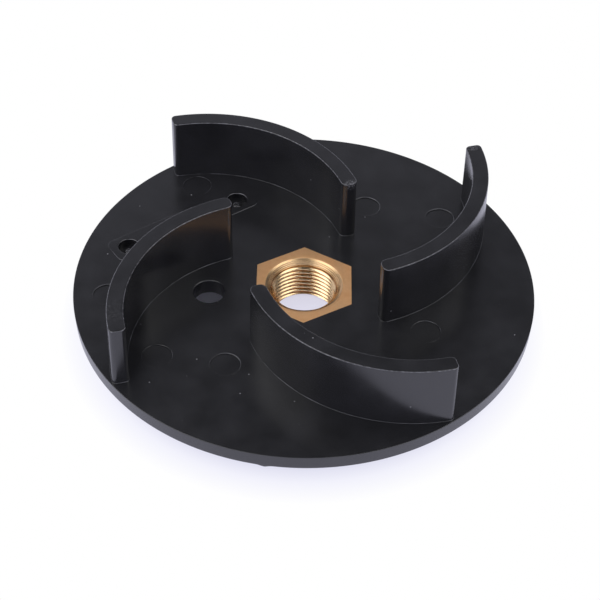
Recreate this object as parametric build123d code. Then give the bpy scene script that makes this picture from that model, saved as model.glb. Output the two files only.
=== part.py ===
from build123d import *
import os
from math import cos, radians, sin, sqrt, tan

# Pump impeller: an open disc with curved blades, moulded in one piece round a threaded brass hexagon.
# Lengths are in millimetres and angles in degrees.
# The origin is on the axis at the rear face, and the blades point up, along +Z.

# Disc
disc_diameter = 140.0
disc_thickness = 4.9
rim_draft = 3.5             # the rim narrows towards the rear face
rim_front_chamfer = 0.3
rim_rear_chamfer = 0.6

# Hub behind the disc
hub_projection = 9.1
hub_wall = 4.0              # plastic outside the corners of the brass
hub_draft = 1.5
hub_root_radius = 1.5
hub_end_chamfer = 0.5

# Blades, swept back from the eye to the rim
blade_count = 4
blade_height = 20.9
blade_thickness = 5.15      # where it meets the disc
blade_draft = 0.3
blade_inlet_radius = 26.4   # from the axis to the inner end of the centre line
blade_rim_gap = 2.7         # from the outer end of the centre line to the rim
blade_inlet_angle = -121.3
blade_wrap = 70.7           # angle at the axis between the two ends
blade_curve_radius = 46.4
blade_nose_radius = 2.0
blade_outlet_radius = 1.4
blade_top_chamfer = 0.4

# Brass insert
thread_diameter = 20.0
thread_pitch = 1.5
insert_across_flats = 28.9
insert_groove_depth = 1.2   # ring cut into the flats, filled by the plastic, which locks the two
insert_groove_width = 3.0
front_countersink_margin = 1.5  # how far the mouth stands outside the thread
rear_countersink_margin = 0.2
countersink_angle = 120.0   # between opposite sides of the cone

# Hole through the disc beside the hub
balance_hole_diameter = 10.2
balance_hole_chamfer = 0.3
balance_hole_wall = 2.9     # plastic between the hole and the hub
balance_hole_angle = 188.0

# Raised pad with a blind hole near each end, on the blade side
pad_inset = 23.3            # from the rim to the pad's centre
pad_place_angle = 145.0
pad_turn = 35.0
pad_hole_spacing = 39.9
pad_end_margin = 5.5        # from a blind hole's centre to the pad's end
pad_width = 10.4
pad_corner_radius = 2.5
pad_height = 0.2
blind_hole_diameter = 7.0
blind_hole_depth = 3.0
blind_hole_chamfer = 0.25
stub_diameter = 3.0         # moulding stub on the floor of each blind hole
stub_height = 1.1
stub_chamfer = 0.5

# Round marks left by the ejector pins, slightly sunk
mark_diameter = 8.8
mark_depth = 0.2
outer_mark_inset = 17.0     # from the rim to the marks' centres
outer_mark_angles = (36.5, 216.5, 306.5)
back_mark_inset = 12.9
back_mark_angle = 127.8
side_mark_inset = 10.5
side_mark_angle = 186.1
inner_mark_offset = 14.8    # outside the blades' inner ends
inner_mark_angles = (-28.1, 62.2, 236.9)

# Sizes that follow from the ones above
disc_radius = disc_diameter / 2
face_height = hub_projection + disc_thickness
insert_length = face_height
hexagon_corner_radius = insert_across_flats / sqrt(3)
hub_end_size = hexagon_corner_radius + hub_wall
hub_root_size = hub_end_size + hub_projection * tan(radians(hub_draft))
thread_triangle_height = thread_pitch * sqrt(3) / 2             # of the sharp 60 degree form
thread_minor_radius = thread_diameter / 2 - thread_triangle_height * 5 / 8

# A round or a chamfer takes at most this share of a width on each side, so that the two sides never meet
largest_share = 0.45


def polar(radius, angle):
    return Vector(radius * cos(radians(angle)), radius * sin(radians(angle)))


def nearest_vertex(face, corner):
    return face.vertices().sort_by_distance((*corner, 0))[0]


def disc_with_hub():
    """Half section of the disc and hub, with its corners rounded or broken, turned about the axis."""
    hub_end = (hub_end_size, 0)
    hub_root = (hub_root_size, hub_projection)
    rim_rear = (disc_radius - disc_thickness * tan(radians(rim_draft)), hub_projection)
    rim_front = (disc_radius, face_height)
    section = make_face(Polyline((0, 0), hub_end, hub_root, rim_rear, rim_front, (0, face_height), close=True))
    section = fillet(nearest_vertex(section, hub_root), hub_root_radius)
    section = chamfer(nearest_vertex(section, hub_end), hub_end_chamfer)
    section = chamfer(nearest_vertex(section, rim_rear), rim_rear_chamfer)
    section = chamfer(nearest_vertex(section, rim_front), rim_front_chamfer)
    return revolve(Plane.XZ * section, Axis.Z)


def blade_curve():
    """The centre of the blade's curve, the inner end's angle about it, and how far round the outer end is."""
    inlet = polar(blade_inlet_radius, blade_inlet_angle)
    outlet = polar(disc_radius - blade_rim_gap, blade_inlet_angle + blade_wrap)
    chord = outlet - inlet
    reach = sqrt(blade_curve_radius**2 - (chord.length / 2) ** 2)
    centre = (inlet + outlet) / 2 + chord.normalized().rotate(Axis.Z, 90) * reach
    start = Vector(1, 0, 0).get_signed_angle(inlet - centre, Vector(0, 0, 1))
    sweep = (inlet - centre).get_signed_angle(outlet - centre, Vector(0, 0, 1))
    return centre, start, sweep


def blade():
    """One blade: a drafted section carried round the curve, with rounded ends and a broken top edge."""
    centre, start, sweep = blade_curve()
    foot = blade_thickness / 2
    tip = foot - blade_height * tan(radians(blade_draft))
    corners = [(-foot, 0), (foot, 0), (tip, blade_height), (-tip, blade_height)]
    section = Pos(blade_curve_radius, 0) * make_face(Polyline(*corners, close=True))
    body = revolve(Plane.XZ * section, Axis.Z, revolution_arc=sweep)
    # Of the flat faces, the inner end's is the farthest along X, and the outer end's the nearest
    for end, radius in ((-1, blade_nose_radius), (0, blade_outlet_radius)):
        end_face = body.faces().filter_by(GeomType.PLANE).sort_by(Axis.X)[end]
        uprights = end_face.edges().sort_by(lambda edge: abs(edge.tangent_at(0.5).Z))[-2:]
        body = fillet(uprights, min(radius, 2 * tip * largest_share))
    top = body.faces().sort_by(Axis.Z)[-1]
    body = chamfer(top.edges(), min(blade_top_chamfer, 2 * tip * largest_share))
    return Pos(centre.X, centre.Y, face_height) * Rot(0, 0, start) * body


def add_blades(body):
    """The blades set evenly round the axis."""
    for step in range(blade_count):
        body += Rot(0, 0, step * 360 / blade_count) * blade()
    return body


def insert_blank():
    """The hexagon before it is bored, with the locking ring cut round its middle."""
    hexagon = RegularPolygon(insert_across_flats / 2, 6, major_radius=False, rotation=30)
    prism = extrude(hexagon, amount=insert_length)
    groove_radius = insert_across_flats / 2 - insert_groove_depth
    around = Cylinder(hub_end_size, insert_groove_width) - Cylinder(groove_radius, insert_groove_width)
    return prism - Pos(0, 0, insert_length / 2) * around


def countersink(margin):
    """A cone from the thread's crests out to its mouth, with the mouth at height 0."""
    mouth_radius = thread_diameter / 2 + margin
    depth = (mouth_radius - thread_minor_radius) / tan(radians(countersink_angle / 2))
    return Pos(0, 0, -depth / 2) * Cone(thread_minor_radius, mouth_radius, depth)


def threaded_insert():
    """The bored hexagon. The bore is plain, at the size of the thread's crests."""
    bore = Pos(0, 0, insert_length / 2) * Cylinder(thread_minor_radius, insert_length)
    front = Pos(0, 0, insert_length) * countersink(front_countersink_margin)
    rear = Rot(180, 0, 0) * countersink(rear_countersink_margin)
    return insert_blank() - bore - front - rear


def chamfered_hole(diameter, depth, edge):
    """A cutter for a round hole down from height 0. Its diameter is the mouth's, outside the 45 degree edge."""
    radius = diameter / 2
    wall = radius - edge
    profile = Polyline((radius, 0), (wall, -edge), (wall, -depth), (0, -depth), (0, 0), close=True)
    return revolve(Plane.XZ * make_face(profile), Axis.Z)


def balance_hole():
    """A cutter right through the disc, just clear of the hub."""
    place = polar(hub_root_size + balance_hole_wall + balance_hole_diameter / 2, balance_hole_angle)
    cutter = chamfered_hole(balance_hole_diameter, disc_thickness + hub_root_radius, balance_hole_chamfer)
    return Pos(place.X, place.Y, face_height) * cutter


def pad_places():
    """The two blind holes, one each side of the pad's centre."""
    middle = polar(disc_radius - pad_inset, pad_place_angle)
    along = polar(pad_hole_spacing / 2, pad_turn)
    return [middle - along, middle + along]


def pad():
    """The raised pad under both blind holes."""
    middle = polar(disc_radius - pad_inset, pad_place_angle)
    length = pad_hole_spacing + 2 * pad_end_margin
    outline = RectangleRounded(length, pad_width, min(pad_corner_radius, pad_width * largest_share))
    return Pos(middle.X, middle.Y, face_height) * Rot(0, 0, pad_turn) * extrude(outline, amount=pad_height)


def blind_hole():
    """A cutter for a blind hole that leaves the moulding stub standing on its floor."""
    hole = chamfered_hole(blind_hole_diameter, blind_hole_depth, blind_hole_chamfer)
    stub = Pos(0, 0, stub_height / 2 - blind_hole_depth) * Cylinder(stub_diameter / 2, stub_height)
    stub = chamfer(stub.edges().group_by(Axis.Z)[-1], min(stub_chamfer, stub_diameter * largest_share))
    return hole - stub


def mark_places():
    """The ejector marks, some held to the rim and some to the blades' inner ends."""
    places = [polar(disc_radius - outer_mark_inset, angle) for angle in outer_mark_angles]
    places.append(polar(disc_radius - back_mark_inset, back_mark_angle))
    places.append(polar(disc_radius - side_mark_inset, side_mark_angle))
    places += [polar(blade_inlet_radius + inner_mark_offset, angle) for angle in inner_mark_angles]
    return places


def impeller_body():
    """The whole black moulding, with its pocket round the brass."""
    body = add_blades(disc_with_hub())
    body += pad()
    body -= insert_blank()
    body -= balance_hole()
    for place in pad_places():
        body -= Pos(place.X, place.Y, face_height + pad_height) * blind_hole()
    for place in mark_places():
        body -= Pos(place.X, place.Y, face_height - mark_depth / 2) * Cylinder(mark_diameter / 2, mark_depth)
    return body


os.makedirs("parts", exist_ok=True)
export_step(impeller_body(), "parts/impeller_body.step")
export_step(threaded_insert(), "parts/threaded_insert.step")
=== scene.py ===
import math

import bpy
import bmesh
import numpy as np
from mathutils import Matrix, Vector
from mathutils.geometry import delaunay_2d_cdt


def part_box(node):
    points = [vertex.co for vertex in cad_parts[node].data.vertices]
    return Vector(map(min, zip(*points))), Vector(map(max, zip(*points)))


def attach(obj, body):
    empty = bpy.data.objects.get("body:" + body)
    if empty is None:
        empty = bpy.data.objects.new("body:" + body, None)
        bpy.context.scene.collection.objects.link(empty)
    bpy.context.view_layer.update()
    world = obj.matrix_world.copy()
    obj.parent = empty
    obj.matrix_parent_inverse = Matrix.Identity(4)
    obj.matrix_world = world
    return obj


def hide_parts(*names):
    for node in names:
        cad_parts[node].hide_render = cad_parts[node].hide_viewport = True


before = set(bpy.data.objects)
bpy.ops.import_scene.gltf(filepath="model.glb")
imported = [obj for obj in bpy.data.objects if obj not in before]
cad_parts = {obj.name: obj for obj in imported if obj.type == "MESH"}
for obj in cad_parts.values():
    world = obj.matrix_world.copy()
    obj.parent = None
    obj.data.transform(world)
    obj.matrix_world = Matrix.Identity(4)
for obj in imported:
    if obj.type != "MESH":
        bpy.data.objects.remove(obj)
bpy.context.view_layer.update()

# Pump impeller: a black moulding with four swept blades, moulded round a threaded brass hexagon.
# Shapes are worked out in millimetres in the CAD model's frame, and scaled when they become a mesh.

mm = 0.001
bodyHigh = np.array(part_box("impeller_body")[1]) / mm
insertHigh = np.array(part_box("threaded_insert")[1]) / mm
faceHeight = round(float(insertHigh[2]), 3)       # the insert ends level with the disc's face
bladeHeight = round(float(bodyHigh[2]), 3) - faceHeight
hexFlat = round(float(insertHigh[0]), 3)          # half of its width across flats
print("frame loaded: face at", faceHeight, "blades", bladeHeight, "half hexagon", hexFlat)


# Shapes

def polar(radius, degrees):
    turn = np.radians(degrees)
    return np.array([radius * np.cos(turn), radius * np.sin(turn)])


def rotated(points, degrees):
    c, s = math.cos(math.radians(degrees)), math.sin(math.radians(degrees))
    return points @ np.array([[c, s], [-s, c]])


def evenTurn(count):
    return np.arange(count) * 2 * np.pi / count


# The arc that rounds the corner of a profile, from where it leaves one side to where it meets the
# next: both of its end spokes are square to the sides, and the spokes between divide their angle
# evenly.
def cornerArc(before, corner, after, radius, steps):
    before, corner, after = (np.array(point, float) for point in (before, corner, after))
    toBefore = (before - corner) / np.linalg.norm(before - corner)
    toAfter = (after - corner) / np.linalg.norm(after - corner)
    half = math.acos(float(toBefore @ toAfter)) / 2
    middle = toBefore + toAfter
    centre = corner + middle / np.linalg.norm(middle) * radius / math.sin(half)
    first = corner + toBefore * radius / math.tan(half) - centre
    last = corner + toAfter * radius / math.tan(half) - centre
    angle = math.pi - 2 * half
    share = np.linspace(0, 1, steps + 1)[:, None]
    spokes = np.sin((1 - share) * angle) * first + np.sin(share * angle) * last
    return centre + spokes / math.sin(angle)


# A profile of (radius, height) turned about an upright axis: one loop for each point of the profile
def turnedLoops(profile, count, centre=(0.0, 0.0)):
    turn = evenTurn(count)
    radius, height = np.asarray(profile, float).T[:, :, None]
    x = centre[0] + radius * np.cos(turn)
    y = centre[1] + radius * np.sin(turn)
    return np.stack([x, y, height + 0 * turn], axis=-1)


# Quads between each loop of a stack and the next, where every loop closes on itself
def wallPatch(loops):
    rows, columns = loops.shape[:2]
    index = np.arange(rows * columns).reshape(rows, columns)
    beside = np.roll(index, -1, axis=1)
    quads = np.stack([index[:-1], beside[:-1], beside[1:], index[1:]], axis=-1)
    return loops.reshape(-1, 3), quads.reshape(-1, 4)


# A point is inside a loop if a ray to its right crosses the loop an odd number of times
def inside(loop, points):
    x, y = points[:, 0, None], points[:, 1, None]
    x0, y0 = loop.T
    x1, y1 = np.roll(loop, -1, axis=0).T
    rise = np.where(y1 == y0, 1.0, y1 - y0)
    crossing = x0 + (y - y0) * (x1 - x0) / rise
    return (((y0 > y) != (y1 > y)) & (x < crossing)).sum(axis=1) % 2 == 1


# The points of a loop moved a little to either side, square to the line through its neighbours
def besideLoop(loop, distance):
    along = np.roll(loop, -1, axis=0) - np.roll(loop, 1, axis=0)
    square = np.column_stack([along[:, 1], -along[:, 0]]) / np.linalg.norm(along, axis=1)[:, None]
    return np.vstack([loop + distance * square, loop - distance * square])


# Triangles at the level of the outer loop, inside it and outside the holes, round a lattice of
# equal triangles. A row of points close beside each loop keeps the shading of a rounded edge off
# the wide triangles.
def flatPatch(outer, holes, spacing):
    edgeRow = 0.15                # millimetres from the loop to the row beside it
    rowClearance = 0.8 * edgeRow
    latticeClearance = 0.6 * spacing
    tolerance = 1e-6
    height = outer[0, 2]
    outer, *holes = loops = [loop[:, :2] for loop in (outer, *holes)]
    low, high = outer.min(axis=0), outer.max(axis=0)
    rows = np.arange(low[1], high[1], spacing * math.sqrt(3) / 2)
    x, y = np.meshgrid(np.arange(low[0], high[0], spacing), rows)
    x = x + spacing / 2 * (np.arange(len(rows))[:, None] % 2)
    beside = np.vstack([besideLoop(loop, edgeRow) for loop in loops])
    within = np.vstack([np.column_stack([x.ravel(), y.ravel()]), beside])
    clearance = np.full(len(within), latticeClearance)
    clearance[-len(beside):] = rowClearance
    free = inside(outer, within)
    for hole in holes:
        free &= ~inside(hole, within)
    for loop in loops:
        away = np.linalg.norm(within[:, None] - loop, axis=2).min(axis=1)
        free &= away > clearance
    points = np.vstack(loops + [within[free]])

    sizes = np.array([len(loop) for loop in loops])
    ends = np.cumsum(sizes)
    after = np.arange(ends[-1]) + 1
    after[ends - 1] = ends - sizes
    edges = np.column_stack([np.arange(ends[-1]), after])
    vectors = [Vector(point) for point in points.tolist()]
    # The nought keeps all triangles, and True asks which given point each new point comes from
    faces, sources = delaunay_2d_cdt(vectors, edges.tolist(), [], 0, tolerance, True)[2:4]
    triangles = np.array([ids[0] for ids in sources])[np.array(faces)]
    centres = points[triangles].mean(axis=1)
    kept = inside(outer, centres)
    for hole in holes:
        kept &= ~inside(hole, centres)
    return np.column_stack([points, np.full(len(points), height)]), triangles[kept]


# One mesh from many patches, welded where they meet, with its faces turned outwards
def meshPiece(name, patches, sharpAngle):
    weld = 1e-4                   # millimetres
    points = np.vstack([patch[0] for patch in patches])
    offsets = np.cumsum([0] + [len(patch[0]) for patch in patches])
    rounded = np.round(points / weld).astype(np.int64)
    first, index = np.unique(rounded, axis=0, return_index=True, return_inverse=True)[1:]
    index = index.ravel()
    faces = []
    for offset, patch in zip(offsets, patches):
        faces += index[patch[1] + offset].tolist()
    mesh = bpy.data.meshes.new(name)
    mesh.from_pydata((points[first] * mm).tolist(), [], faces)
    work = bmesh.new()
    work.from_mesh(mesh)
    bmesh.ops.recalc_face_normals(work, faces=work.faces)
    openEdges = sum(not edge.is_manifold for edge in work.edges)
    volume = work.calc_volume(signed=True) / mm**3
    work.to_mesh(mesh)
    work.free()
    mesh.shade_smooth()
    mesh.set_sharp_from_angle(angle=math.radians(sharpAngle))
    piece = bpy.data.objects.new(name, mesh)
    bpy.context.scene.collection.objects.link(piece)
    weighted = piece.modifiers.new("weightedNormals", "WEIGHTED_NORMAL")
    weighted.keep_sharp = True
    print(name, len(mesh.vertices), "vertices", openEdges, "open edges, volume", round(volume))
    return piece


# Nodes and colours

# From an sRGB hex code to linear light
def hexColour(text):
    channels = np.array([int(text[i:i + 2], 16) for i in (1, 3, 5)]) / 255
    linear = np.where(channels <= 0.04045, channels / 12.92, ((channels + 0.055) / 1.055) ** 2.4)
    return (*linear.tolist(), 1.0)


def addNode(tree, kind, values=None, links=None, **settings):
    node = tree.nodes.new(kind)
    for setting, value in settings.items():
        setattr(node, setting, value)
    for socket, value in (values or {}).items():
        node.inputs[socket].default_value = value
    for socket, source in (links or {}).items():
        tree.links.new(source, node.inputs[socket])
    return node


def newMaterial(name):
    material = bpy.data.materials.new(name)
    material.use_nodes = True
    material.node_tree.nodes.clear()
    return material, material.node_tree


# Fractal noise, of features about the given size in millimetres
def noise(tree, place, size, **inputs):
    values = {"Scale": 1 / (size * mm), "Detail": 2.0} | inputs
    return addNode(tree, "ShaderNodeTexNoise", values, {"Vector": place}).outputs["Fac"]


def ramp(tree, value, fromMin, fromMax, toMin=0.0, toMax=1.0):
    limits = {"From Min": fromMin, "From Max": fromMax, "To Min": toMin, "To Max": toMax}
    return addNode(tree, "ShaderNodeMapRange", limits, {"Value": value}).outputs["Result"]


# From nothing to one between two distances from a level, in millimetres
def fade(tree, value, level, first, last):
    return ramp(tree, value, (level + first) * mm, (level + last) * mm)


def maths(tree, operation, first, second=0.0):
    values, links = {}, {}
    for socket, term in enumerate((first, second)):
        if isinstance(term, (int, float)):
            values[socket] = term
        else:
            links[socket] = term
    return addNode(tree, "ShaderNodeMath", values, links, operation=operation).outputs[0]


# A mix node keeps its colours in the inputs 6 and 7 and in the output 2
def colourMix(tree, share, first, second):
    values, links = {}, {0: share}
    for socket, colour in ((6, first), (7, second)):
        if isinstance(colour, str):
            values[socket] = hexColour(colour)
        else:
            links[socket] = colour
    return addNode(tree, "ShaderNodeMix", values, links, data_type="RGBA").outputs[2]


def lengthOf(tree, vector):
    node = addNode(tree, "ShaderNodeVectorMath", links={0: vector}, operation="LENGTH")
    return node.outputs["Value"]


def bumpFrom(tree, height, depth, normal=None):
    values = {"Distance": depth * mm, "Strength": 1.0}
    links = {"Height": height} | ({"Normal": normal} if normal else {})
    return addNode(tree, "ShaderNodeBump", values, links).outputs["Normal"]


# One in the core of a round patch of the given radius, and nothing from its edge outwards
def patchAt(tree, place, centre, radius):
    core = 0.4 * radius
    away = addNode(tree, "ShaderNodeVectorMath", {1: centre}, {0: place}, operation="DISTANCE")
    return ramp(tree, away.outputs["Value"], radius * mm, core * mm)


# Camera at the photograph's place

view = {
    "elevation": 0.768278,        # radians above the floor
    "roll": 0.0198064,
    "distance": 555.429,          # from the middle of the disc's face
    "shiftRight": -1.213352,
    "shiftUp": -4.819584,
    "lens": 109.425,
    "sensorWidth": 36.0,
}


def makeCamera():
    back = Vector((0, -math.cos(view["elevation"]), math.sin(view["elevation"])))
    right = Vector((1, 0, 0))
    up = right.cross(-back)
    c, s = math.cos(view["roll"]), math.sin(view["roll"])
    right, up = right * c + up * s, up * c - right * s
    place = Vector((0, 0, faceHeight)) + back * view["distance"]
    place += right * view["shiftRight"]
    place += up * view["shiftUp"]
    data = bpy.data.cameras.new("camera")
    data.lens = view["lens"]
    data.sensor_width = view["sensorWidth"]
    camera = bpy.data.objects.new("camera", data)
    turned = Matrix((right, up, back)).transposed().to_4x4()
    camera.matrix_world = Matrix.Translation(place * mm) @ turned
    bpy.context.scene.collection.objects.link(camera)
    bpy.context.scene.camera = camera


makeCamera()


# Black moulding

disc = {
    "radius": 70.0,
    "thickness": 4.9,
    "rimDraft": 3.5,
    "frontRound": 0.15,
    "rearRound": 0.6,
    "hubWall": 4.0,               # outside the corners of the brass
    "hubDraft": 1.5,
    "hubRootRound": 1.5,
    "hubEndRound": 0.5,
    "gateAngle": -98.5,
    "gateWidth": 1.3,
    "gateHeight": 0.5,
}
# Where the plastic and the brass meet: a hexagon with a ring groove in it, which the plastic fills
pocket = {
    "grooveHeights": (5.5, 8.5),
    "grooveRadius": 13.25,
    "columns": 288,
}
blade = {
    "count": 4,
    "thickness": 5.15,
    "draft": 0.3,
    "inletRadius": 26.4,
    "rimGap": 2.7,
    "inletAngle": -121.3,
    "wrap": 70.7,
    "curveRadius": 46.4,
    "noseRound": 2.0,
    "outletRound": 1.4,
    "topRound": 0.28,
    "rootRound": 0.1,
    "rimClearance": 0.05,         # between the round at the root and the one at the rim
    "roundRows": 7,
    "wallRows": 16,
    "outerSteps": 96,
    "innerSteps": 88,
    "outletSteps": 10,
    "noseSteps": 12,
}
pad = {
    "inset": 23.3,
    "placeAngle": 145.0,
    "turn": 35.0,
    "holeSpacing": 39.9,
    "endMargin": 5.5,
    "width": 10.4,
    "cornerRound": 2.5,
    "height": 0.2,
    "edgeRound": 0.16,
}
holes = {
    "balanceRadius": 5.1,
    "balanceRound": 0.3,
    "balanceWall": 2.9,
    "balanceAngle": 188.0,
    "blindRadius": 3.5,
    "blindRound": 0.25,
    "blindDepth": 3.0,
    "stubRadius": 1.5,
    "stubHeight": 1.1,
    "stubRound": 0.6,
}
marks = {
    "radius": 4.4,
    "depth": 0.2,
    "lipWidth": 0.3,              # of the raised burr round each mark
    "lipHeight": 0.05,            # at its highest, on the side that lipAngle gives
    "lipAngle": 60.0,
    "lipLeast": 0.3,              # share of that height on the other side
    "columns": 72,
    "places": (                   # distance from the axis and angle
        (53.0, 36.5),
        (53.0, 216.5),
        (53.0, 306.5),
        (57.1, 127.8),
        (59.5, 186.1),
        (41.2, -28.1),
        (41.2, 62.2),
        (41.2, 236.9),
    ),
}


# Round the hexagon at a height. Its radius at each angle is half its width across flats over the
# cosine of the angle to the nearest flat.
def hexLoop(height):
    turn = evenTurn(pocket["columns"])
    radius = hexFlat / np.cos((turn + np.pi / 6) % (np.pi / 3) - np.pi / 6)
    return np.column_stack([radius * np.cos(turn), radius * np.sin(turn), 0 * turn + height])


# From the disc's face down. The moulding's pocket and the insert's outside share this wall.
def hexagonWall():
    low, high = pocket["grooveHeights"]
    face, above, below, rear = (hexLoop(height) for height in (faceHeight, high, low, 0))
    radius = pocket["grooveRadius"]
    groove = turnedLoops([(radius, high), (radius, low)], pocket["columns"])
    return np.stack([face, above, *groove, below, rear])


# Points round an arc, one row for each level, without the arc's last point
def levelArc(centre, radius, start, end, count):
    turn = start + (end - start) * np.arange(count) / count
    return centre + radius[:, :, None] * np.stack([np.cos(turn), np.sin(turn)], axis=-1)


# The curve's centre, and the angles about it of the blade's two ends
def bladeCurve():
    inlet = polar(blade["inletRadius"], blade["inletAngle"])
    outlet = polar(disc["radius"] - blade["rimGap"], blade["inletAngle"] + blade["wrap"])
    chord = outlet - inlet
    length = np.linalg.norm(chord)
    reach = math.sqrt(blade["curveRadius"] ** 2 - (length / 2) ** 2)
    centre = (inlet + outlet) / 2 + np.array([-chord[1], chord[0]]) / length * reach
    start, end = (math.atan2(*(point - centre)[::-1]) for point in (inlet, outlet))
    return centre, start, end


# A blade's outline at each height: an outer and an inner arc about the curve's centre, and two
# straight ends, with arcs of their own in the four corners. Below, the outline grows into the
# root's round, and at the top it shrinks over the edge's round, with the draft between.
def bladeLoops():
    centre, start, end = bladeCurve()
    quarter = np.pi / 2
    root, top = blade["rootRound"], blade["topRound"]
    sweep = np.linspace(0, quarter, blade["roundRows"])
    wall = np.linspace(root, bladeHeight - top, blade["wallRows"])[1:-1]
    grow = [root * (1 - np.sin(sweep)), 0 * wall, -top * (1 - np.cos(sweep))]
    grow = np.concatenate(grow)[:, None]
    height = [root * (1 - np.cos(sweep)), wall, bladeHeight - top + top * np.sin(sweep)]
    height = np.concatenate(height)[:, None]
    half = blade["thickness"] / 2 - height * math.tan(math.radians(blade["draft"])) + grow

    # A corner's radius, its centre's distance from the curve's centre, and the angle there by
    # which the corner's centre lies beyond the blade's end
    def cornerAt(side, roundness):
        radius = roundness + grow
        beyond = grow - radius
        reach = blade["curveRadius"] + side * (half - radius)
        along = np.sqrt(reach**2 - beyond**2)
        return radius, reach, np.arctan2(beyond, along)

    def cornerPoints(corner, turn, first, last, count):
        radius, reach = corner[:2]
        place = reach[:, :, None] * np.stack([np.cos(turn), np.sin(turn)], axis=-1)
        return levelArc(place, radius, first, last, count)

    outletOut, outletIn = (cornerAt(side, blade["outletRound"]) for side in (1, -1))
    inletOut, inletIn = (cornerAt(side, blade["noseRound"]) for side in (1, -1))
    endOut, endIn = end + outletOut[2], end + outletIn[2]
    startOut, startIn = start - inletOut[2], start - inletIn[2]
    atEnd, atStart = end + quarter, start + 3 * quarter      # square to the two ends
    middle = np.zeros((len(height), 1, 2))
    outer, inner = blade["curveRadius"] + half, blade["curveRadius"] - half
    outletSteps, noseSteps = blade["outletSteps"], blade["noseSteps"]
    pieces = [
        levelArc(middle, outer, startOut, endOut, blade["outerSteps"]),
        cornerPoints(outletOut, endOut, endOut, atEnd, outletSteps),
        cornerPoints(outletOut, endOut, atEnd, atEnd, 1),
        cornerPoints(outletIn, endIn, atEnd, endIn + 2 * quarter, outletSteps),
        levelArc(middle, inner, endIn, startIn, blade["innerSteps"]),
        cornerPoints(inletIn, startIn, startIn + 2 * quarter, atStart, noseSteps),
        cornerPoints(inletIn, startIn, atStart, atStart, 1),
        cornerPoints(inletOut, startOut, atStart, startOut + 4 * quarter, noseSteps),
    ]
    loops = np.concatenate(pieces, axis=1) + centre
    fromAxis = np.linalg.norm(loops, axis=2, keepdims=True)
    reach = disc["radius"] - disc["frontRound"] - blade["rimClearance"]
    loops = loops * np.minimum(1, reach / fromAxis)
    heights = np.broadcast_to(faceHeight + height, loops.shape[:2])
    return np.concatenate([loops, heights[:, :, None]], axis=2)


# A rectangle with round corners, about the origin
def roundedRectangle(length, width, radius, steps):
    x, y = length / 2, width / 2
    corners = [(x, -y), (x, y), (-x, y), (-x, -y)]
    around = [(corners[i - 1], corners[i], corners[(i + 1) % 4]) for i in range(4)]
    return np.vstack([cornerArc(*three, radius, steps) for three in around])


# The gate left a small hump on the rim's rear edge, which fades out over its width as a bell
# curve does
def rimLoops(section):
    rim = np.vstack([
        cornerArc(*section[0:3], disc["frontRound"], steps=5),
        cornerArc(*section[1:4], disc["rearRound"], steps=6),
    ])
    rim[:, 0] = np.minimum(rim[:, 0], bodyHigh[0])           # no wider than the solid
    rim = turnedLoops(rim, count=720)
    angle = np.degrees(np.arctan2(rim[:, :, 1], rim[:, :, 0]))
    rearRadius = section[2][0]
    fromGate = (angle - disc["gateAngle"]) * math.pi / 180 * rearRadius
    hump = disc["gateHeight"] * np.exp(-((fromGate / disc["gateWidth"]) ** 2))
    rearEdge = slice(-5, -1)      # loops of the rear round, short of the rear face
    rim[rearEdge, :, 2] -= hump[rearEdge]
    return rim


def hubLoops(section):
    hub = np.vstack([
        cornerArc(*section[2:5], disc["hubRootRound"], steps=8),
        cornerArc(*section[3:6], disc["hubEndRound"], steps=6),
    ])
    return turnedLoops(hub, count=240)


# The rounded mouth of a hole, from the level around it down to its wall
def holeMouth(wall, top, roundness):
    return cornerArc((wall + 1, top), (wall, top), (wall, 0), roundness, steps=4)


def balanceLoops(hubRoot, rearHeight):
    outwards = hubRoot + holes["balanceWall"] + holes["balanceRadius"]
    place = polar(outwards, holes["balanceAngle"])
    wall = holes["balanceRadius"] - holes["balanceRound"]
    mouth = holeMouth(wall, faceHeight, holes["balanceRound"])
    return turnedLoops(np.vstack([mouth, [(wall, rearHeight)]]), count=96, centre=place)


# The lip is half a wave high and wide, and drops inside to the sunk middle. Round the mark its
# height follows a raised cosine.
def markLoops(radius, angle):
    share = np.linspace(0, 1, 9)
    lip = np.column_stack([
        marks["radius"] + marks["lipWidth"] * (1 - share),
        faceHeight + marks["lipHeight"] * np.sin(np.pi * share),
    ])
    profile = np.vstack([lip, [(marks["radius"], faceHeight - marks["depth"])]])
    loops = turnedLoops(profile, marks["columns"], polar(radius, angle))
    fromHighest = evenTurn(marks["columns"]) - math.radians(marks["lipAngle"])
    share = marks["lipLeast"] + (1 - marks["lipLeast"]) * (1 + np.cos(fromHighest)) / 2
    loops[:-1, :, 2] = faceHeight + (loops[:-1, :, 2] - faceHeight) * share
    return loops


# The pad's edge, up from the face and in over its round
def padLoops(middle, top):
    length = pad["holeSpacing"] + 2 * pad["endMargin"]
    bend = np.linspace(0, np.pi / 2, 5)
    insets = np.concatenate([[0], pad["edgeRound"] * (1 - np.cos(bend))])
    heights = np.concatenate([[faceHeight], top - pad["edgeRound"] * (1 - np.sin(bend))])
    outline = np.stack([
        roundedRectangle(length - 2 * inset, pad["width"] - 2 * inset, pad["cornerRound"] - inset, 8)
        for inset in insets
    ])
    outline = rotated(outline, pad["turn"]) + middle
    heights = np.broadcast_to(heights[:, None, None], outline.shape[:2] + (1,))
    return np.concatenate([outline, heights], axis=2)


# From the pad down the wall, over the floor and up the moulding stub that stands on it
def blindLoops(place, top):
    wall = holes["blindRadius"] - holes["blindRound"]
    floor = top - holes["blindDepth"]
    stub, stubTop = holes["stubRadius"], floor + holes["stubHeight"]
    mouth = holeMouth(wall, top, holes["blindRound"])
    crown = cornerArc((stub, floor), (stub, stubTop), (0, stubTop), holes["stubRound"], steps=5)
    profile = np.vstack([mouth, [(wall, floor), (stub, floor)], crown])
    return turnedLoops(profile, count=72, centre=place)


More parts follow.
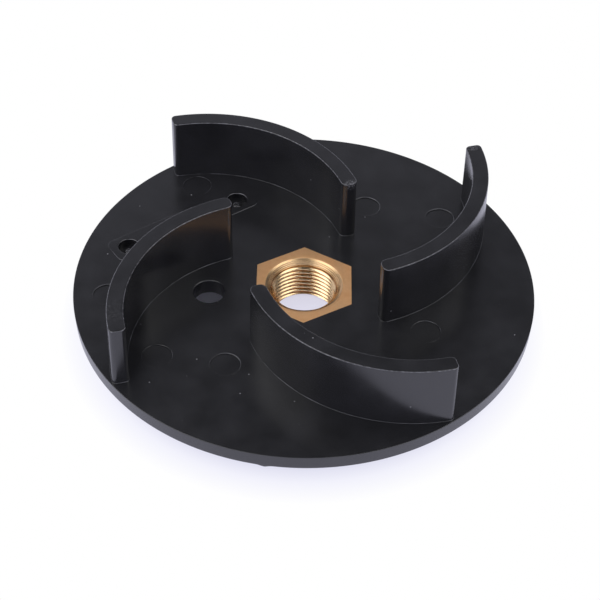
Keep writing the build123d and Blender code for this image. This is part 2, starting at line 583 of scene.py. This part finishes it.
def mouldingPatches():
    rearHeight = faceHeight - disc["thickness"]
    rearRadius = disc["radius"] - disc["thickness"] * math.tan(math.radians(disc["rimDraft"]))
    hubEnd = hexFlat * 2 / math.sqrt(3) + disc["hubWall"]
    hubRoot = hubEnd + rearHeight * math.tan(math.radians(disc["hubDraft"]))
    section = [
        (0, faceHeight), (disc["radius"], faceHeight), (rearRadius, rearHeight),
        (hubRoot, rearHeight), (hubEnd, 0), (0, 0),
    ]
    rim, hub, pocketWall = rimLoops(section), hubLoops(section), hexagonWall()
    patches = [wallPatch(rim), wallPatch(hub), wallPatch(pocketWall)]
    patches.append(flatPatch(hub[-1], [pocketWall[-1]], spacing=3.0))

    onFace = [pocketWall[0]]      # where other shapes meet the disc's face
    loops = bladeLoops()
    for step in range(blade["count"]):
        turned = loops.copy()
        turned[:, :, :2] = rotated(loops[:, :, :2], step * 360 / blade["count"])
        patches += [wallPatch(turned), flatPatch(turned[-1], [], spacing=1.2)]
        onFace.append(turned[0])

    balance = balanceLoops(hubRoot, rearHeight)
    rearHoles = [hub[0], balance[-1]]
    patches += [wallPatch(balance), flatPatch(rim[-1], rearHoles, spacing=4.0)]
    onFace.append(balance[0])

    for radius, angle in marks["places"]:
        mark = markLoops(radius, angle)
        patches += [wallPatch(mark), flatPatch(mark[-1], [], spacing=1.5)]
        onFace.append(mark[0])

    middle = polar(disc["radius"] - pad["inset"], pad["placeAngle"])
    top = faceHeight + pad["height"]
    outline = padLoops(middle, top)
    patches.append(wallPatch(outline))
    onFace.append(outline[0])
    padHoles = []
    for side in (-1, 1):
        blind = blindLoops(middle + side * polar(pad["holeSpacing"] / 2, pad["turn"]), top)
        patches += [wallPatch(blind), flatPatch(blind[-1], [], spacing=0.6)]
        padHoles.append(blind[0])
    patches.append(flatPatch(outline[-1], padHoles, spacing=2.0))
    patches.append(flatPatch(rim[0], onFace, spacing=3.0))
    return patches


moulding = meshPiece("mouldedBody", mouldingPatches(), sharpAngle=30)
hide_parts("impeller_body")
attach(moulding, "root")


# Brass insert

insert = {
    "threadRadius": 10.0,
    "pitch": 1.5,
    "threadStart": 0.2,           # how far the turns are moved down
    "mouthRadius": 11.4,          # of the countersink at the front
    "bevelRadius": 11.9,          # of the shallow bevel round its mouth
    "bevelSlope": 2.75,           # millimetres inwards for each one down
    "rearMouthRadius": 10.2,
    "countersinkAngle": 86.0,
    "toolMarks": (0.4, 0.04),     # spacing and depth of the rings that the tool left in it
    "boreRows": 280,
}


# The bore's radius at each angle and height: the thread's form, or a countersink where that is
# wider. The form repeats each pitch and moves up one pitch a turn. Its crests are flat for a
# sixteenth of the pitch and its roots for an eighth, and the flanks between them are straight lines
# mixed with a quarter of a smooth step. The front countersink has a shallow bevel round its mouth,
# and rings, a sine wave along its depth.
def boreRadius(turn, height):
    pitch = insert["pitch"]
    crestHalf, rootHalf, smooth = 1 / 32, 1 / 16, 0.25
    depth = 5 / 8 * math.sqrt(3) / 2 * pitch
    phase = ((height + insert["threadStart"]) / pitch - turn / (2 * np.pi)) % 1
    fromCrest = np.abs(phase - 0.5)
    share = np.clip((fromCrest - crestHalf) / (0.5 - rootHalf - crestHalf), 0, 1)
    share = (1 - smooth) * share + smooth * share**2 * (3 - 2 * share)
    thread = insert["threadRadius"] - depth * (1 - share)
    slope = math.tan(math.radians(insert["countersinkAngle"] / 2))
    spacing, ringDepth = insert["toolMarks"]
    below = faceHeight - height
    rings = ringDepth * np.sin(2 * np.pi * below / spacing)
    front = insert["mouthRadius"] - below * slope + rings
    bevel = insert["bevelRadius"] - below * insert["bevelSlope"]
    rear = insert["rearMouthRadius"] - height * slope
    return np.maximum(np.maximum(thread, front), np.maximum(bevel, rear))


# One wall that closes on itself: down the bore, out over the rear face, up the outside and in over
# the front face
def insertPatches():
    turn = evenTurn(pocket["columns"])
    heights = np.linspace(faceHeight, 0, insert["boreRows"])[:, None]
    radius = boreRadius(turn, heights)
    bore = np.stack([radius * np.cos(turn), radius * np.sin(turn), heights + 0 * turn], axis=-1)
    outside = hexagonWall()[::-1]
    share = np.linspace(0, 1, 6)[1:-1, None, None]
    rear = bore[-1] + (outside[0] - bore[-1]) * share
    front = outside[-1] + (bore[0] - outside[-1]) * share
    return [wallPatch(np.concatenate([bore, rear, outside, front, bore[:1]]))]


brass = meshPiece("turnedInsert", insertPatches(), sharpAngle=30)
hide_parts("threaded_insert")
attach(brass, "root")


# Materials

# Black nylon, injection moulded: near black all through, with a semi-gloss skin that mirrors what
# is pale and near it. The skin is slightly wavy. A painted highlight, broken up by noise, runs pale
# along the blades' rounded top edges, and another runs as a broken pale line round the marks and
# where the blades and the pad meet the disc. Some of the blades' tips are scuffed pale, and a little
# pale dust lies on it.
nylon = {
    "dark": "#19191b",
    "pale": "#1f1f22",
    "dust": "#a0a0a4",
    "paleHighlightAndScuff": "#66666b",
    "roughness": (0.2, 0.27),
    "ior": 1.66,
    "flowSize": 9.0,              # millimetres across a patch of the mottling
    "flowRange": (0.3, 0.7),      # of the noise, over which dark turns to pale
    "waveDepth": 0.02,
    "grainSize": 0.25,
    "grainDepth": 0.004,
    "dustSpacing": 7.0,
    "dustSize": 0.28,
    # Painted highlight: a pale band over the blades' rounded top edges, broken up by noise
    "edgeHighlightSize": 1.0,
    "edgeHighlightRange": (0.4, 0.65),     # of the noise, and then the painted highlight at either end of it
    "edgeHighlightShare": (0.1, 0.8),
    "edgeHighlightStart": (-0.28, -0.196), # heights above the blades' tops, where it fades in going up
    "edgeHighlightEnd": (-0.01, -0.03),    # and where it fades in going down
    # Painted highlight: a broken pale line just above the disc's face, round the marks' lips and the
    # feet of the blades and the pad
    "lineSize": 5.0,              # the same for the painted highlight line, in heights above the disc's face
    "lineRange": (0.42, 0.66),
    "lineShare": (0.0, 0.8),
    "lineStart": (0.015, 0.04),
    "lineEnd": (0.19, 0.14),
    "scuffSize": 0.5,
    "scuffRange": (0.52, 0.6),
    "scuffDepth": 0.06,
    # Distance from the axis, angle, depth below the blades' tops, radius and strength
    "scuffs": (
        (26.6, 58.7, 0.0, 2.6, 1.0),
        (67.0, 39.4, 0.0, 2.8, 1.0),
        (63.5, 213.0, 0.0, 8.0, 0.12),
        (56.7, 164.3, 22.6, 1.8, 1.0),
        (44.1, 119.8, 22.6, 1.8, 1.0),
    ),
}


def mouldedNylon():
    material, tree = newMaterial("mouldedNylon")
    place = addNode(tree, "ShaderNodeTexCoord").outputs["Object"]
    flow = noise(tree, place, nylon["flowSize"], Detail=3.0)
    mottling = ramp(tree, flow, *nylon["flowRange"])
    colour = colourMix(tree, mottling, nylon["dark"], nylon["pale"])
    rough = ramp(tree, flow, *nylon["flowRange"], *nylon["roughness"])

    top = faceHeight + bladeHeight
    height = addNode(tree, "ShaderNodeSeparateXYZ", links={0: place}).outputs["Z"]
    # Painted highlight on the blades' rounded top edges, broken up by noise
    edge = maths(
        tree, "MULTIPLY",
        fade(tree, height, top, *nylon["edgeHighlightStart"]),
        fade(tree, height, top, *nylon["edgeHighlightEnd"]),
    )
    paleHighlightAndScuff = noise(tree, place, nylon["edgeHighlightSize"])
    paleHighlightAndScuff = ramp(tree, paleHighlightAndScuff, *nylon["edgeHighlightRange"], *nylon["edgeHighlightShare"])
    paintedHighlight = maths(tree, "MULTIPLY", edge, paleHighlightAndScuff)
    # Painted highlight: a broken pale line low on the face, round the marks and the feet of the
    # blades and the pad
    corner = maths(
        tree, "MULTIPLY",
        fade(tree, height, faceHeight, *nylon["lineStart"]),
        fade(tree, height, faceHeight, *nylon["lineEnd"]),
    )
    broken = noise(tree, place, nylon["lineSize"], Detail=4.0)
    broken = ramp(tree, broken, *nylon["lineRange"], *nylon["lineShare"])
    paintedHighlight = maths(tree, "MAXIMUM", paintedHighlight, maths(tree, "MULTIPLY", corner, broken))
    scratches = noise(tree, place, nylon["scuffSize"], Distortion=1.5)
    scratches = ramp(tree, scratches, *nylon["scuffRange"])
    scuffs = 0.0
    for radius, angle, below, size, strength in nylon["scuffs"]:
        x, y = polar(radius, angle)
        patch = patchAt(tree, place, (x * mm, y * mm, (top - below) * mm), size)
        scuffs = maths(tree, "MAXIMUM", maths(tree, "MULTIPLY", patch, strength), scuffs)
    scuffs = maths(tree, "MULTIPLY", scuffs, scratches)
    # The painted highlights and the real scuffs share one pale colour
    colour = colourMix(tree, maths(tree, "MAXIMUM", paintedHighlight, scuffs), colour, nylon["paleHighlightAndScuff"])

    scale = {"Scale": 1 / (nylon["dustSpacing"] * mm)}
    cells = addNode(tree, "ShaderNodeTexVoronoi", scale, {"Vector": place}).outputs["Distance"]
    speck = ramp(tree, cells, nylon["dustSize"] / nylon["dustSpacing"], 0.0)
    colour = colourMix(tree, speck, colour, nylon["dust"])

    normal = bumpFrom(tree, flow, nylon["waveDepth"])
    grain = noise(tree, place, nylon["grainSize"])
    normal = bumpFrom(tree, grain, nylon["grainDepth"], normal)
    normal = bumpFrom(tree, scuffs, nylon["scuffDepth"], normal)
    links = {"Base Color": colour, "Roughness": rough, "Normal": normal}
    shader = addNode(tree, "ShaderNodeBsdfPrincipled", {"IOR": nylon["ior"]}, links)
    addNode(tree, "ShaderNodeOutputMaterial", links={"Surface": shader.outputs["BSDF"]})
    return material


moulding.data.materials.append(mouldedNylon())

# Free-cutting brass, turned and tapped: a bright bore, freshly cut, with painted shade darkening
# the thread's roots, and a duller face with the fine rings that the tool left, browner in patches
# where it has begun to tarnish
brassLook = {
    "fresh": "#e8c99d",
    # painted shade in the thread's roots
    "root": "#b98552",
    "cone": "#dcb98c",
    "face": "#efbf8d",
    "tarnish": "#e2b07e",
    "boreRoughness": 0.18,
    "coneRoughness": 0.26,
    "faceRoughness": (0.48, 0.6),
    "patchSize": 4.0,
    "patchRange": (0.4, 0.7),     # of the noise, over which the face turns to tarnish
    "faceFade": (-0.1, -0.02),    # above the face, where its look fades in
    "coneFade": (0.0, 0.2),       # outside the thread's roots, where the countersink's fades in
    "rootFade": (-0.35, -0.05),   # the same for the painted shade in the roots
    "ringSpacing": 0.3,           # millimetres from one ring to the next
    "ringDepth": 0.006,
}


def turnedBrass():
    material, tree = newMaterial("turnedBrass")
    place = addNode(tree, "ShaderNodeTexCoord").outputs["Object"]
    height = addNode(tree, "ShaderNodeSeparateXYZ", links={0: place}).outputs["Z"]
    onFace = fade(tree, height, faceHeight, *brassLook["faceFade"])
    patches = noise(tree, place, brassLook["patchSize"], Detail=4.0)
    patches = ramp(tree, patches, *brassLook["patchRange"])
    face = colourMix(tree, patches, brassLook["face"], brassLook["tarnish"])
    faceRough = ramp(tree, patches, 0.0, 1.0, *brassLook["faceRoughness"])

    level = {1: (1.0, 1.0, 0.0)}
    flat = addNode(tree, "ShaderNodeVectorMath", level, {0: place}, operation="MULTIPLY")
    fromAxis = lengthOf(tree, flat.outputs[0])
    onCone = fade(tree, fromAxis, insert["threadRadius"], *brassLook["coneFade"])
    rough = ramp(tree, onCone, 0.0, 1.0, brassLook["boreRoughness"], brassLook["coneRoughness"])
    rough = maths(tree, "MAXIMUM", maths(tree, "MULTIPLY", onFace, faceRough), rough)
    # Painted shade: the bore darkens towards the thread's roots
    rootShade = fade(tree, fromAxis, insert["threadRadius"], *brassLook["rootFade"])
    bore = colourMix(tree, rootShade, brassLook["fresh"], brassLook["root"])
    bore = colourMix(tree, onCone, bore, brassLook["cone"])
    colour = colourMix(tree, onFace, bore, face)

    turns = maths(tree, "MULTIPLY", fromAxis, 2 * math.pi / (brassLook["ringSpacing"] * mm))
    rings = maths(tree, "MULTIPLY", maths(tree, "SINE", turns), onFace)
    normal = bumpFrom(tree, rings, brassLook["ringDepth"])
    links = {"Base Color": colour, "Roughness": rough, "Normal": normal}
    shader = addNode(tree, "ShaderNodeBsdfPrincipled", {"Metallic": 1.0}, links)
    addNode(tree, "ShaderNodeOutputMaterial", links={"Surface": shader.outputs["BSDF"]})
    return material


brass.data.materials.append(turnedBrass())
print("materials done")


# Floor and light: white paper lit by two large soft lamps, in a surround that is bright low in front

studio = {
    "floorColour": "#f4f4fc",
    "floorSize": 4.0,
    "paintedShadeTint": "#ececff",       # painted lavender shade on the floor beside the object, and on all of it that mirrors show
    "lampSize": (0.54, 0.66),
    "lampRadiance": (2.45, 2.0),  # of the left lamp and the right one
    "lampTilt": 27.5,
    "lampLean": 3.0,              # towards the back
    "lampDistance": 0.85,
    "surround": "#f0f1ff",
    "behind": (0, 1, 0.6),        # the direction in which the surround is dark
    "behindFade": (0.1, -0.5),    # cosines of the angles to it between which it turns bright
    "backStrength": 0.06,
    "frontStrength": 1.7,
    "backdropStrength": 0.8,
    "backdropTop": (0.75, 0.4),   # sines of the elevations between which it fades out
    "backdropLean": 0.2,          # it reaches higher on the left
    # How white the floor looks at a distance from the axis, in millimetres: a painted pool of light
    # glows under the bore, none glows under the disc, and the glow rises to white beyond the rim. It
    # keeps the object's shadow where this is low.
    "whiteness": (
        (0, 0.68), (12, 0.68), (18, 0.0), (50, 0.0), (62, 0.83), (67, 0.96), (75, 1.0),
    ),
    "tintFade": (0.8, 1.0),       # shares of the last distance between which the painted shade tint fades out
}


def makeFloor():
    half = studio["floorSize"] / 2
    corners = [(-half, -half, 0), (half, -half, 0), (half, half, 0), (-half, half, 0)]
    mesh = bpy.data.meshes.new("floor")
    mesh.from_pydata(corners, [], [(0, 1, 2, 3)])
    floor = bpy.data.objects.new("floor", mesh)
    bpy.context.scene.collection.objects.link(floor)
    material, tree = newMaterial("paleFloor")
    fromAxis = lengthOf(tree, addNode(tree, "ShaderNodeTexCoord").outputs["Object"])
    whiteness = studio["whiteness"]
    reach = whiteness[-1][0]
    share = ramp(tree, fromAxis, 0.0, reach * mm)
    curve = addNode(tree, "ShaderNodeValToRGB", links={"Fac": share})
    stops = curve.color_ramp.elements
    stops.remove(stops[-1])
    for radius, level in whiteness[1:]:
        stops.new(radius / reach).color = (level, level, level, 1)
    level = whiteness[0][1]
    stops[0].color = (level, level, level, 1)
    path = addNode(tree, "ShaderNodeLightPath").outputs
    seen = maths(tree, "MAXIMUM", path["Is Camera Ray"], path["Is Glossy Ray"])
    seen = maths(tree, "MAXIMUM", seen, path["Is Transmission Ray"])
    paper = addNode(tree, "ShaderNodeBsdfDiffuse", {"Color": hexColour(studio["floorColour"])})
    # The painted lavender shade near the object turns white further out, for the camera only
    far = ramp(tree, share, *studio["tintFade"])
    far = maths(tree, "MULTIPLY", far, path["Is Camera Ray"])
    colour = colourMix(tree, far, studio["paintedShadeTint"], "#ffffff")
    white = addNode(tree, "ShaderNodeEmission", {"Strength": 1.0}, {"Color": colour})
    # Painted light: the floor glows by the whiteness curve, with a pool of light under the bore
    glow = maths(tree, "MULTIPLY", seen, curve.outputs["Color"])
    links = {0: glow, 1: paper.outputs[0], 2: white.outputs[0]}
    shader = addNode(tree, "ShaderNodeMixShader", links=links)
    addNode(tree, "ShaderNodeOutputMaterial", links={"Surface": shader.outputs[0]})
    mesh.materials.append(material)


def makeLamps():
    width, depth = studio["lampSize"]
    lamps = zip(("leftSoftbox", "rightSoftbox"), (-1, 1), studio["lampRadiance"])
    for name, side, radiance in lamps:
        tilt = Matrix.Rotation(math.radians(studio["lampTilt"]) * side, 4, "Y")
        lean = Matrix.Rotation(-math.radians(studio["lampLean"]), 4, "X")
        data = bpy.data.lights.new(name, "AREA")
        data.shape = "RECTANGLE"
        data.size, data.size_y = width, depth
        data.energy = radiance * math.pi * width * depth
        lamp = bpy.data.objects.new(name, data)
        lamp.matrix_world = lean @ tilt @ Matrix.Translation((0, 0, studio["lampDistance"]))
        bpy.context.scene.collection.objects.link(lamp)


# The surround is brightest low in front of the object, and dark above and behind it. A pale
# backdrop stands all round, low down. The camera sees plain white instead.
def makeWorld():
    world = bpy.data.worlds.new("studio")
    world.use_nodes = True
    tree = world.node_tree
    tree.nodes.clear()
    path = addNode(tree, "ShaderNodeLightPath").outputs
    direction = addNode(tree, "ShaderNodeTexCoord").outputs["Generated"]

    def along(towards):
        values = {1: tuple(Vector(towards).normalized())}
        node = addNode(tree, "ShaderNodeVectorMath", values, {0: direction}, operation="DOT_PRODUCT")
        return node.outputs["Value"]

    strengths = (studio["backStrength"], studio["frontStrength"])
    strength = ramp(tree, along(studio["behind"]), *studio["behindFade"], *strengths)
    height = along((studio["backdropLean"], 0, 1))
    backdrop = ramp(tree, height, *studio["backdropTop"], 0.0, studio["backdropStrength"])
    strength = maths(tree, "MAXIMUM", strength, backdrop)
    tint = {"Color": hexColour(studio["surround"])}
    fill = addNode(tree, "ShaderNodeBackground", tint, {"Strength": strength})
    white = addNode(tree, "ShaderNodeBackground", {"Color": (1, 1, 1, 1), "Strength": 1.0})
    links = {0: path["Is Camera Ray"], 1: fill.outputs[0], 2: white.outputs[0]}
    mix = addNode(tree, "ShaderNodeMixShader", links=links)
    addNode(tree, "ShaderNodeOutputWorld", links={"Surface": mix.outputs[0]})
    bpy.context.scene.world = world


makeFloor()
makeLamps()
makeWorld()
bpy.context.scene.view_settings.view_transform = "Standard"
print("floor and light done")
